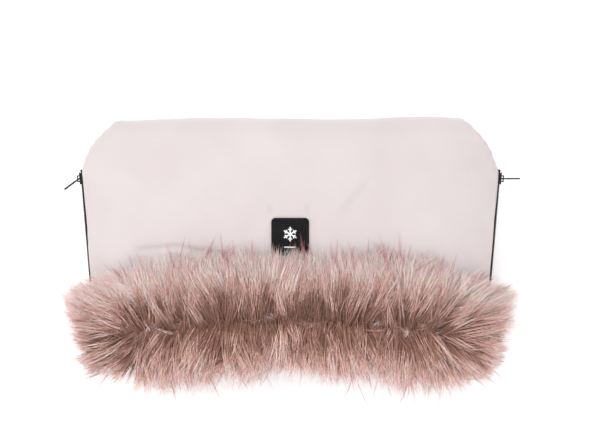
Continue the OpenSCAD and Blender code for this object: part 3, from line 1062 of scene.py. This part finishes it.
def tones_of(rng, lock, run, x, locks):
    """Material of each stretch of each strand, by the place of its lock."""
    shade = 0.45 * ripple(x, run, 18, 51) + rng.normal(0, 0.4, locks)
    shade -= 0.5 * smooth(-run / 10)
    shade += 2.7 * smooth((run - 5) / 18) - 0.15 - 0.75 * np.exp(-(((run - 3) / 14) ** 2))
    level = shade[lock] + rng.normal(0, 0.3, len(lock))
    kind = np.zeros((len(lock), SEGMENTS), int)
    for least, names in TONE_PLAN:
        kind = np.where((level > least)[:, None], tone_row(names)[None], kind)
    variant = np.repeat(rng.integers(0, VARIANTS, len(lock))[:, None], SEGMENTS, axis=1)
    return kind * VARIANTS + variant


def crossing(rng, count, side):
    """Short tousled locks that hide the backing along the parting."""
    x = rng.uniform(-0.8, 0.8, count) * LIP_HALF
    run = rng.normal(-2, 6, count) + 6 * ripple(x, 0 * x, 60, 41)
    centres = lock_lines(rng, x, run, side, rng.uniform(20, 34, count))
    roots = centres[:, :1]
    turn = rng.normal(0, 0.8, (count, 1))
    way = centres - roots
    turned = way.copy()
    turned[..., 0] = way[..., 0] * np.cos(turn) - way[..., 1] * np.sin(turn)
    turned[..., 1] = way[..., 0] * np.sin(turn) + way[..., 1] * np.cos(turn)
    turned[..., 2] *= 0.75
    lock = np.repeat(np.arange(count), CROSSING_HAIRS)
    t = np.linspace(0, 1, SEGMENTS + 1)
    spread = rng.normal(0, 1, (len(lock), 3)) * np.array([2.6, 2.6, 1.0])
    lines = (roots + turned)[lock] + spread[:, None] * (1 - 0.6 * t)[:, None]
    lines = keep_clear(lines, side, 1.6)
    darker = tone_row(("root", "root", "root", "mid", "mid"))
    lighter = tone_row(("root", "root", "mid", "light", "light"))
    tones = np.where((rng.random(count) < 0.35)[lock][:, None], lighter, darker) * VARIANTS
    tones = tones + rng.integers(0, VARIANTS, count)[lock][:, None]
    return lines, rng.uniform(0.2, 0.36, len(lock)), tones


def wisps(rng, count, side):
    """Long thin pink hairs that stand out of the edge of the fur, a few together."""
    x = rng.uniform(-0.97, 0.97, count) * LIP_HALF
    over = rng.random(count) < 0.6
    run = np.where(over, rng.uniform(20, 42, count), rng.uniform(-32, -12, count))
    length = rng.uniform(52, 66, count)
    centres = lock_lines(rng, x, run, side, length)
    room = trimmed(rng, centres)
    reach = rng.uniform(1.08, 1.35, count)[:, None, None]
    centres = centres[:, :1] + (room - centres[:, :1]) * reach
    lock = np.repeat(np.arange(count), WISP_HAIRS)
    t = np.linspace(0, 1, SEGMENTS + 1)
    spread = rng.normal(0, 1.3, (len(lock), 3))
    lines = centres[lock] + spread[:, None] * (1 - 0.7 * t)[:, None]
    lean = rng.normal(0, 0.3, count)[lock]
    lines[..., 0] += lean[:, None] * 18 * t**2
    lines = keep_clear(lines, side, 2.2)
    row = tone_row(("mid", "light", "tip", "wisp", "wisp"))
    tones = row[None] * VARIANTS + rng.integers(0, VARIANTS, (len(lock), 1))
    return lines, rng.uniform(0.16, 0.24, len(lock)), tones


def fur_pieces(name, body, parts, lines, widths, tones):
    """Splits the strands across the width, so that no piece is too large."""
    order = np.argsort(lines[:, 0, 0], kind="stable")
    for i, chosen in enumerate(np.array_split(order, parts)):
        piece = strand_object(f"{name}_{i + 1}", lines[chosen], widths[chosen], tones[chosen])
        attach(piece, body)


def make_undercoat(name, node, side, body, keep):
    """The dense short fur under the long hair: the CAD trim, drawn in towards its backing."""
    piece = cleaned_copy(name, node)
    co = np.array([v.co for v in piece.data.vertices]) / MM
    x, run = np.meshgrid(np.linspace(-1, 1, 121) * LIP_HALF, np.linspace(-38, BACKING_REACH, 60))
    base = backing(x.ravel(), run.ravel(), side)
    nearest = np.empty_like(co)
    for i, p in enumerate(co):
        nearest[i] = base[np.argmin(((base - p) ** 2).sum(axis=1))]
    away = np.linalg.norm(co - nearest, axis=1, keepdims=True)
    co = np.where(away < 3.5, co, nearest + (co - nearest) * keep)
    for v, p in zip(piece.data.vertices, co):
        v.co = p * MM
    divide = piece.modifiers.new("divide", "SUBSURF")
    divide.levels = 2
    divide.render_levels = 2
    apply_modifiers(piece)
    smooth_shaded(piece.data)
    wear(piece, UNDERCOAT, body=body, replaces=(node,))


def make_fur():
    rng = np.random.default_rng(20)
    locks = LOCKS
    front = (
        fur(rng, locks, FRONT, reach_over=BACKING_REACH, reach_round=15, length_mean=56),
        crossing(rng, CROSSING_LOCKS, FRONT),
        wisps(rng, WISP_LOCKS, FRONT),
    )
    joined = [np.concatenate(group) for group in zip(*front)]
    fur_pieces("fur_front", "front_half", 6, *joined)
    back = fur(rng, locks // BACK_SHARE, BACK, reach_over=12, reach_round=12, length_mean=42)
    fur_pieces("fur_back", "back_half", 2, *back)
    make_undercoat("fur_undercoat_front", "fur_trim_front", FRONT, "front_half", 0.1)
    make_undercoat("fur_undercoat_back", "fur_trim_back", BACK, "back_half", 0.15)


# ---- Hard parts ----


def make_label():
    patch = rounded_copy("label", "label_patch", 0.45, segments=3)
    wear(patch, LABEL_RUBBER, "front_half", ("label_patch",))
    emblem = rounded_copy("label_snowflake", "label_emblem", 0.15)
    wear(emblem, EMBLEM_RUBBER, "front_half", ("label_emblem",))
    thread = rounded_copy("label_thread", "label_stitching", 0.18)
    wear(thread, BLACK_THREAD, "front_half", ("label_stitching",))


def make_zips():
    hard = {
        "zip_teeth_front": ("front_half", ZIP_PLASTIC, "zip_plastic", 0.25),
        "zip_teeth_back": ("back_half", ZIP_PLASTIC, "zip_plastic", 0.25),
        "zip_top_stop_front": ("front_half", ZIP_METAL, "zip_metal", 0.3),
        "zip_top_stop_back": ("back_half", ZIP_METAL, "zip_metal", 0.3),
        "zip_pin": ("front_half", ZIP_PLASTIC, "zip_plastic", 0.3),
        "zip_box": ("back_half", ZIP_PLASTIC, "zip_plastic", 0.35),
        "zip_slider": ("slider", ZIP_METAL, "zip_metal", 0.25),
        "zip_pull": ("pull", ZIP_METAL, "zip_metal", 0.25),
    }
    for hand in ("left", "right"):
        for part, (body, finish, slot_name, width) in hard.items():
            node = f"{hand}_{part}"
            piece = rounded_copy(f"{node}_rounded", node, width)
            rides = body if "half" in body else f"{hand}_{body}"
            wear(piece, finish, rides, (node,))
        for side in ("front", "back"):
            tape = frame["nodes"][f"{hand}_zip_tape_{side}"]
            for material_slot in tape.material_slots:
                material_slot.material = ZIP_TAPE


# ---- Stage ----

FLOOR_SIZE = 8.0


def make_floor():
    half = FLOOR_SIZE / 2 / MM
    corners = [(-half, -half, 0), (half, -half, 0), (half, half, 0), (-half, half, 0)]
    floor = new_object("floor", corners, [[0, 1, 2, 3]])
    finish = Finish("floor_paper", srgb(250, 250, 250), 0.9, specular=0.1)
    finish.vary("Base Color", finish.noise(0.6, 2), srgb(249, 249, 249), srgb(252, 252, 252))
    finish.set("Emission Color", (1.0, 1.0, 1.0, 1.0))
    finish.set("Emission Strength", 0.16)
    floor.data.materials.append(finish.made)


def area_light(name, place, target, size, power):
    data = bpy.data.lights.new(name, "AREA")
    data.shape = "DISK"
    data.size = size
    data.energy = power
    made = bpy.data.objects.new(name, data)
    made.location = place
    way = Vector(target) - Vector(place)
    made.rotation_euler = way.to_track_quat("-Z", "Y").to_euler()
    bpy.context.scene.collection.objects.link(made)


def make_light():
    world = bpy.data.worlds.new("studio")
    world.use_nodes = True
    background = world.node_tree.nodes["Background"]
    background.inputs["Color"].default_value = (1.0, 1.0, 1.0, 1.0)
    background.inputs["Strength"].default_value = 0.98
    bpy.context.scene.world = world
    middle = (0, 0, 0.05)
    area_light("key", (-0.8, 0.7, 1.8), middle, size=1.6, power=14)
    area_light("front", (0.2, -1.0, 1.9), middle, size=1.8, power=9)


def make_camera():
    """Straight above, as far away as a long lens stands. seen_width is at the zips' height."""
    lens, sensor, seen_width = 85.0, 36.0, 0.654
    aim_x, aim_y = 0.0104, 0.041
    data = bpy.data.cameras.new("camera")
    data.lens = lens
    data.sensor_width = sensor
    camera = bpy.data.objects.new("camera", data)
    above = seen_width * lens / sensor
    camera.location = (aim_x, aim_y, ZIP_Z * MM + above)
    bpy.context.scene.collection.objects.link(camera)
    bpy.context.scene.camera = camera


bpy.context.scene.view_settings.view_transform = "Standard"
make_camera()
make_light()
make_floor()
shell_points = make_shell()
make_padding()
make_lining()
make_seams(shell_points)
make_label()
make_zips()
make_fur()
